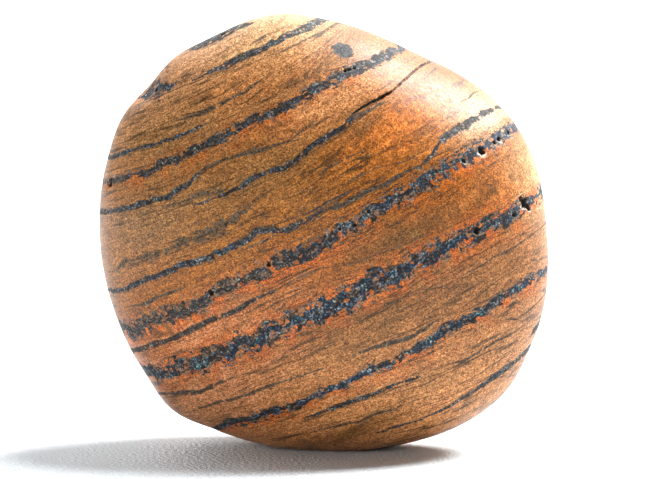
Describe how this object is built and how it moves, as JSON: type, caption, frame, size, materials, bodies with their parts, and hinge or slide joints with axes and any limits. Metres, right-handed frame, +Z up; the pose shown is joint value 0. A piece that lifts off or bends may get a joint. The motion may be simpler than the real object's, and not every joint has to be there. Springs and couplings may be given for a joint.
{
  "type": "river pebble",
  "caption": "Rounded, water-worn banded stone, flattened front to back, that stands on a small worn foot.",
  "frame": {"origin": "on the surface that the stone stands on, under the middle of its box", "axes": "+X along the long way of the stone, +Z up, -Y out of its marked front face"},
  "size_m": [0.0622, 0.037, 0.0603],
  "materials": {
    "banded_stone": "water-worn, matt to faintly glossy, fine-grained"
  },
  "bodies": {
    "root": {"pebble": "banded_stone"}
  },
  "joints": []
}
